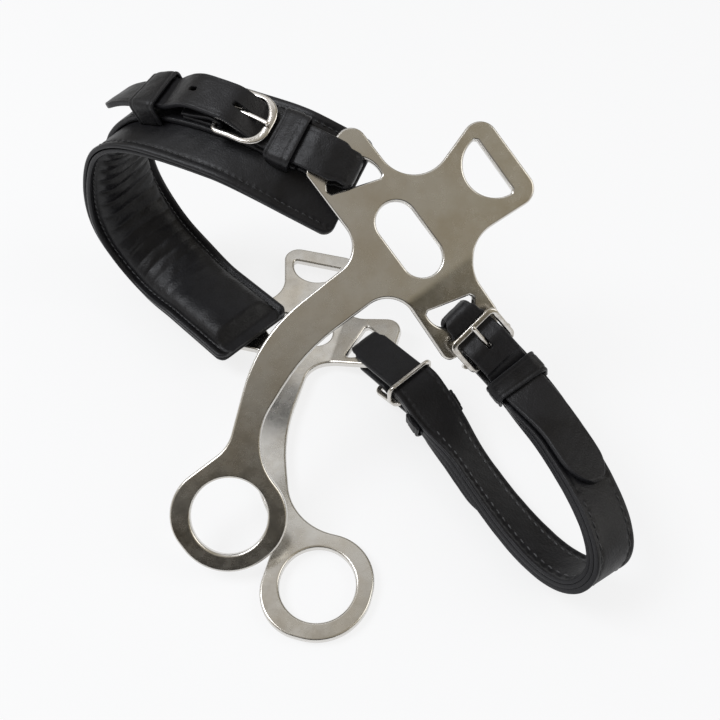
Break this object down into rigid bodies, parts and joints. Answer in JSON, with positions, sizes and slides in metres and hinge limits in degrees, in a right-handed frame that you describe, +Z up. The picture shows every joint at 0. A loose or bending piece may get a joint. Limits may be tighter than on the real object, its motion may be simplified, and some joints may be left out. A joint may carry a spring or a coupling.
{
  "type": "english hackamore",
  "caption": "Short-shank hackamore with two steel cheeks, a padded leather noseband and a stitched leather curb strap.",
  "frame": {"origin": "under the middle of the whole object's bounding box, on the surface that it lies on", "axes": "+Z up from the surface with the far cheek lowest, +X from the noseband towards the curb strap, +Y from the rein rings towards the headpiece slots"},
  "size_m": [0.2578, 0.238, 0.1347],
  "materials": {
    "cheek_steel": "satin",
    "buckle_nickel": "polished",
    "black_leather": "satin, grained",
    "pad_foam": "matte",
    "waxed_thread": "matte"
  },
  "bodies": {
    "far_plate": {"far_cheek": "cheek_steel"},
    "noseband": {"pad_backing": "black_leather", "pad_filling": "pad_foam", "pad_lining": "black_leather", "noseband_strap": "black_leather", "pad_upper_seam": "waxed_thread", "pad_lower_seam": "waxed_thread", "near_nose_billet": "black_leather", "near_nose_chape": "black_leather", "near_nose_buckle": "buckle_nickel", "near_nose_keeper": "black_leather", "far_nose_billet": "black_leather", "far_nose_chape": "black_leather", "far_nose_buckle": "buckle_nickel", "far_nose_keeper": "black_leather"},
    "near_plate": {"near_cheek": "cheek_steel"},
    "curb_strap": {"curb_outer": "black_leather", "curb_filler": "black_leather", "curb_lining": "black_leather", "curb_inner_upper_seam": "waxed_thread", "curb_inner_lower_seam": "waxed_thread", "curb_outer_upper_seam": "waxed_thread", "curb_outer_lower_seam": "waxed_thread", "near_curb_billet": "black_leather", "near_curb_chape": "black_leather", "near_curb_buckle": "buckle_nickel", "near_curb_loop": "buckle_nickel", "near_curb_keeper": "black_leather", "far_curb_billet": "black_leather", "far_curb_chape": "black_leather", "far_curb_buckle": "buckle_nickel", "far_curb_loop": "buckle_nickel", "far_curb_keeper": "black_leather"},
    "near_nose_tongue": {"near_nose_tongue": "buckle_nickel"},
    "far_nose_tongue": {"far_nose_tongue": "buckle_nickel"},
    "near_curb_tongue": {"near_curb_tongue": "buckle_nickel"},
    "far_curb_tongue": {"far_curb_tongue": "buckle_nickel"},
    "near_nose_runner": {"near_nose_runner": "black_leather"},
    "far_nose_runner": {"far_nose_runner": "black_leather"}
  },
  "joints": [
    {"name": "noseband_swing", "type": "hinge", "parent": "far_plate", "child": "noseband", "pos_m": [-0.02902, 0.05227, 0.06026], "axis": [0.5274, -0.0735, 0.8464], "range_deg": [-5, 5]},
    {"name": "near_cheek_swing", "type": "hinge", "parent": "noseband", "child": "near_plate", "pos_m": [-0.02902, 0.05227, 0.06026], "axis": [0.5274, -0.0735, 0.8464], "range_deg": [-5, 5]},
    {"name": "curb_swing", "type": "hinge", "parent": "near_plate", "child": "curb_strap", "pos_m": [0.04429, 0.01286, 0.03618], "axis": [0.5819, -0.3561, 0.7311], "range_deg": [-4, 5]},
    {"name": "near_nose_tongue_lift", "type": "hinge", "parent": "noseband", "child": "near_nose_tongue", "pos_m": [-0.04542, 0.07125, 0.1252], "axis": [-0.4094, -0.8484, -0.3356], "range_deg": [0, 8]},
    {"name": "far_nose_tongue_lift", "type": "hinge", "parent": "noseband", "child": "far_nose_tongue", "pos_m": [-0.10304, 0.09546, 0.02249], "axis": [0.7586, 0.5883, 0.28], "range_deg": [0, 8]},
    {"name": "near_curb_tongue_lift", "type": "hinge", "parent": "curb_strap", "child": "near_curb_tongue", "pos_m": [0.07551, -0.00769, 0.05579], "axis": [0.6987, 0.5667, 0.4365], "range_deg": [0, 8]},
    {"name": "far_curb_tongue_lift", "type": "hinge", "parent": "curb_strap", "child": "far_curb_tongue", "pos_m": [0.04279, 0.00308, 0.01115], "axis": [-0.7478, -0.6481, -0.1438], "range_deg": [0, 8]},
    {"name": "near_nose_runner_slide", "type": "slide", "parent": "noseband", "child": "near_nose_runner", "axis": [-0.8616, 0.4009, -0.3112], "range_m": [-0.001, 0.003]},
    {"name": "far_nose_runner_slide", "type": "slide", "parent": "noseband", "child": "far_nose_runner", "axis": [-0.0051, 0.065, 0.9979], "range_m": [-0.002, 0.002]}
  ],
  "couplings": [
    {"joint": "near_cheek_swing", "follows": "noseband_swing", "ratio": -1}
  ]
}
